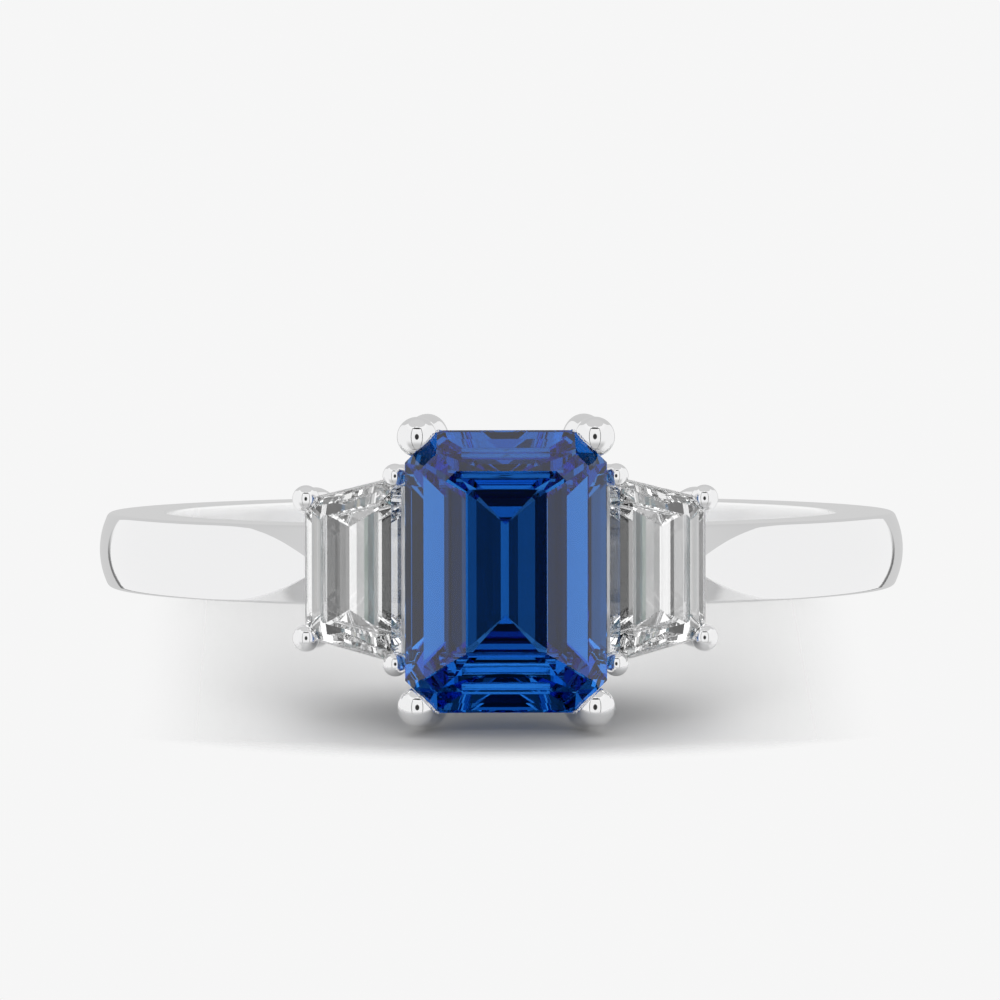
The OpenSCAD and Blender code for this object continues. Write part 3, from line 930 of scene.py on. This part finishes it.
def tent_light(nodes, upright, tilted, rays):
    """White light tent round the ring, laid out by the angle from the camera: a dark oval where the
    camera stands, a thin dark frame round the panel behind it, a grey backdrop behind the ring with
    a dark edge, wider higher up, and more light from above."""
    aside, rise = nodes.maths("ABSOLUTE", tilted[0]), tilted[1]
    across = nodes.maths("DIVIDE", aside, LENS_HALF[0])
    upward = nodes.maths("DIVIDE", rise, LENS_HALF[1])
    oval = nodes.add("CombineXYZ", {"X": across, "Y": upward})["Vector"]
    reach = nodes.vectors("LENGTH", oval)["Value"]
    tent = nodes.fade(reach, *LENS_RIM, LENS_LIGHT, 1.0)
    reach = nodes.maths(
        "MAXIMUM", nodes.maths("DIVIDE", aside, PANEL_HALF[0]),
        nodes.maths("DIVIDE", rise, PANEL_HALF[1]))
    edge = nodes.maths("COMPARE", reach, 1.0, PANEL_FRAME)
    tent = dimmed(nodes, tent, edge, PANEL_DEPTH)
    tent = dimmed(nodes, tent, strip_mask(nodes, aside, rise, BAR), BAR[-1])

    bearing, height, up = nodes.maths("ABSOLUTE", upright[0]), upright[1], upright[2]
    side = nodes.maths(
        "SUBTRACT", nodes.fade(height, *BACKDROP_WIDENS, *BACKDROP_SIDES),
        nodes.fade(height, *BACKDROP_MEETS, 0.0, BACKDROP_SIDES[1]))
    past = nodes.maths("SUBTRACT", bearing, side)
    tent = dimmed(nodes, tent, nodes.fade(past, *BACKDROP_EDGE), BACKDROP_DEPTH)
    seam = nodes.maths(
        "MULTIPLY", nodes.maths("COMPARE", past, 0.0, SEAM_HALF), nodes.fade(height, *SEAM_UP))
    tent = dimmed(nodes, tent, seam, SEAM_DEPTH)
    tent = patched(nodes, tent, bearing, height, FRONT_PATCH)
    tent = patched(nodes, tent, height, height, UNDER_PATCH)
    above = nodes.blend(rays["Is Diffuse Ray"], ABOVE_METAL, ABOVE_MATT, kind="FLOAT")
    above = nodes.maths("MULTIPLY", nodes.fade(up, *ABOVE_EDGE), above)
    return nodes.maths("MULTIPLY", tent, nodes.maths("ADD", 1.0, above))


def stone_light(nodes, upright, rays):
    """The stones' own light, as is usual in pictures of jewellery: an even sheen with a dark column
    over the camera and a dark place below it on their faces, and narrow lights seen through
    them."""
    bearing, height, _ = upright
    side = nodes.maths("ABSOLUTE", bearing)
    sheen = patched(nodes, SHEEN, side, height, COLUMN_PATCH)
    sheen = patched(nodes, sheen, side, height, BELOW_PATCH)
    inner = nodes.maths(
        "ADD", nodes.fade(side, *DIM_EDGE, *DIM_LIGHT),
        nodes.fade(side, *BRIGHT_EDGE, *BRIGHT_LIGHT))
    for strip in STONE_STRIPS:
        mask = strip_mask(nodes, bearing, height, strip)
        inner = nodes.maths("ADD", inner, nodes.maths("MULTIPLY", mask, strip[-1]))
    inner = nodes.maths("MULTIPLY", inner, nodes.fade(height, *RAISED_EDGE, *RAISED_LIGHT))
    return nodes.blend(rays["Is Transmission Ray"], sheen, inner, kind="FLOAT")


def studio_light(world, s):
    """White light from all round: the tent's light on the metal and the floor, the stones' own
    light on rays that leave a perfectly smooth face, and the floor's own white for the camera."""
    world.use_nodes = True
    nodes = Nodes(world.node_tree)
    around = nodes.add("TexCoord")["Generated"]
    turned = nodes.add("Mapping", {
        "Vector": around, "Rotation": (0, 0, -s.azimuth)}, vector_type="VECTOR")["Vector"]
    tilted = nodes.add("Mapping", {
        "Vector": turned, "Rotation": (s.elevation, 0, 0)}, vector_type="VECTOR")["Vector"]
    rays = nodes.add("LightPath")
    upright, tilted = directions(nodes, turned), directions(nodes, tilted)
    tent = tent_light(nodes, upright, tilted, rays)
    stones = stone_light(nodes, upright, rays)
    light = nodes.blend(rays["Is Singular Ray"], tent, stones, kind="FLOAT")
    light = nodes.maths("MULTIPLY", light, s.light)
    strength = nodes.blend(rays["Is Camera Ray"], light, s.white, kind="FLOAT")
    white = nodes.add("Background", {"Color": (1, 1, 1, 1), "Strength": strength})["Background"]
    nodes.add("OutputWorld", {"Surface": white})


# Points of the floor's rim
FLOOR_POINTS = 64
# Shares of the painted shadow's radius, of the floor's radius and of its width at which each starts
# to fade
SHADE_CORE, FLOOR_CORE, WIDTH_CORE = 0.3, 0.86, 0.45
# Width of the camera's sensor in millimetres, and the distances that it sees, in metres
SENSOR, CLIP = 36, (0.01, 10)
# How often light may turn: in all and in the stones, between polished faces, and between matt ones
STONE_BOUNCES, POLISHED_BOUNCES, MATT_BOUNCES = 40, 16, 4


def pale_floor(s):
    """Matt white floor round the ring, a disc whose rim and sides fade out into the same white,
    with a painted shadow: its colour is softly greyer under the head. The rays of the stones' own
    light pass through it."""
    material, nodes = new_material("pale_floor")
    coords = nodes.add("TexCoord")["Object"]
    # Painted shadow: the floor's colour is darkened round a point under the head
    shade = nodes.vectors("DISTANCE", coords, (0, s.shade_front, 0))["Value"]
    tone = nodes.fade(
        shade, SHADE_CORE * s.shade_radius, s.shade_radius, s.shade * s.floor, s.floor)
    matt = nodes.add("BsdfDiffuse", {"Color": tone})["BSDF"]
    clear = nodes.add("BsdfTransparent")["BSDF"]
    away = nodes.vectors("DISTANCE", coords, (0, s.floor_back, 0))["Value"]
    across = nodes.maths("ABSOLUTE", nodes.add("SeparateXYZ", {"Vector": coords})["X"])
    gone = nodes.maths(
        "MAXIMUM", nodes.fade(away, FLOOR_CORE * s.floor_radius, s.floor_radius),
        nodes.fade(across, WIDTH_CORE * s.floor_width, s.floor_width))
    gone = nodes.maths("MAXIMUM", gone, nodes.add("LightPath")["Is Singular Ray"])
    surface = nodes.add("MixShader", {0: gone, 1: matt, 2: clear})["Shader"]
    nodes.add("OutputMaterial", {"Surface": surface})
    return material


def lay_floor(scene, s):
    """The floor's disc."""
    mesh = bpy.data.meshes.new("floor")
    turn = np.linspace(0, 2 * math.pi, FLOOR_POINTS, endpoint=False)
    rim = s.floor_radius * np.stack([np.cos(turn), np.sin(turn), 0 * turn], 1)
    mesh.from_pydata((rim + [0, s.floor_back, 0]).tolist(), [], [list(range(FLOOR_POINTS))])
    mesh.materials.append(pale_floor(s))
    floor = bpy.data.objects.new("floor", mesh)
    scene.collection.objects.link(floor)


def place_camera(scene, s):
    """The scene's camera, at its distance, azimuth and elevation from a point beside the centre
    stone's girdle."""
    camera = bpy.data.cameras.new("camera")
    camera.sensor_width = SENSOR
    camera.lens = SENSOR * s.distance / s.view_width
    camera.clip_start, camera.clip_end = CLIP
    obj = bpy.data.objects.new("camera", camera)
    scene.collection.objects.link(obj)
    a, e = s.azimuth, s.elevation
    back = np.array([math.sin(a) * math.cos(e), -math.cos(a) * math.cos(e), math.sin(e)])
    right = np.array([math.cos(a), math.sin(a), 0.0])
    up = np.cross(right, -back)
    target = from_head([0, 0, s.girdle]) + s.rise * up - s.shift * right
    obj.location = target + back * s.distance
    obj.rotation_mode = "QUATERNION"
    obj.rotation_quaternion = Vector(-back).to_track_quat("-Z", "Y")
    scene.camera = obj


class RING_OT_stage(bpy.types.Operator):
    """Set up the floor, the soft light and the camera"""

    bl_idname = "ring.stage"
    bl_label = "Stage"

    def execute(self, context):
        scene = context.scene
        s = scene.ring_studio
        lay_floor(scene, s)
        scene.world = bpy.data.worlds.new("studio")
        studio_light(scene.world, s)
        place_camera(scene, s)
        scene.view_settings.view_transform = "Standard"
        cycles = scene.cycles
        cycles.max_bounces = cycles.transmission_bounces = STONE_BOUNCES
        cycles.glossy_bounces = POLISHED_BOUNCES
        cycles.diffuse_bounces = MATT_BOUNCES
        return {"FINISHED"}


class RING_PT_panel(bpy.types.Panel):
    """Lists the pieces of the ring"""

    bl_idname = "RING_PT_panel"
    bl_label = "Three Stone Ring"
    bl_space_type = "VIEW_3D"
    bl_region_type = "UI"
    bl_category = "Ring"

    def draw(self, context):
        for operator in OPERATORS:
            self.layout.operator(operator.bl_idname)


GROUPS = {
    "ring_shank": ShankSizes,
    "ring_claws": ClawSizes,
    "ring_finish": Finishes,
    "ring_studio": StudioSettings,
}
OPERATORS = (
    RING_OT_shank, RING_OT_centre_setting, RING_OT_side_settings, RING_OT_stones, RING_OT_stage)
CLASSES = (*GROUPS.values(), *OPERATORS, RING_PT_panel)


def register():
    """Adds the classes, and the settings to the scene."""
    for cls in CLASSES:
        bpy.utils.register_class(cls)
    for name, group in GROUPS.items():
        setattr(bpy.types.Scene, name, PointerProperty(type=group))


def unregister():
    """Takes the settings and the classes away again."""
    for name in GROUPS:
        delattr(bpy.types.Scene, name)
    for cls in reversed(CLASSES):
        bpy.utils.unregister_class(cls)


def main():
    """Builds the ring and its stage."""
    register()
    bpy.ops.ring.shank()
    bpy.ops.ring.centre_setting()
    bpy.ops.ring.side_settings()
    bpy.ops.ring.stones()
    bpy.ops.ring.stage()


if __name__ == "__main__":
    main()
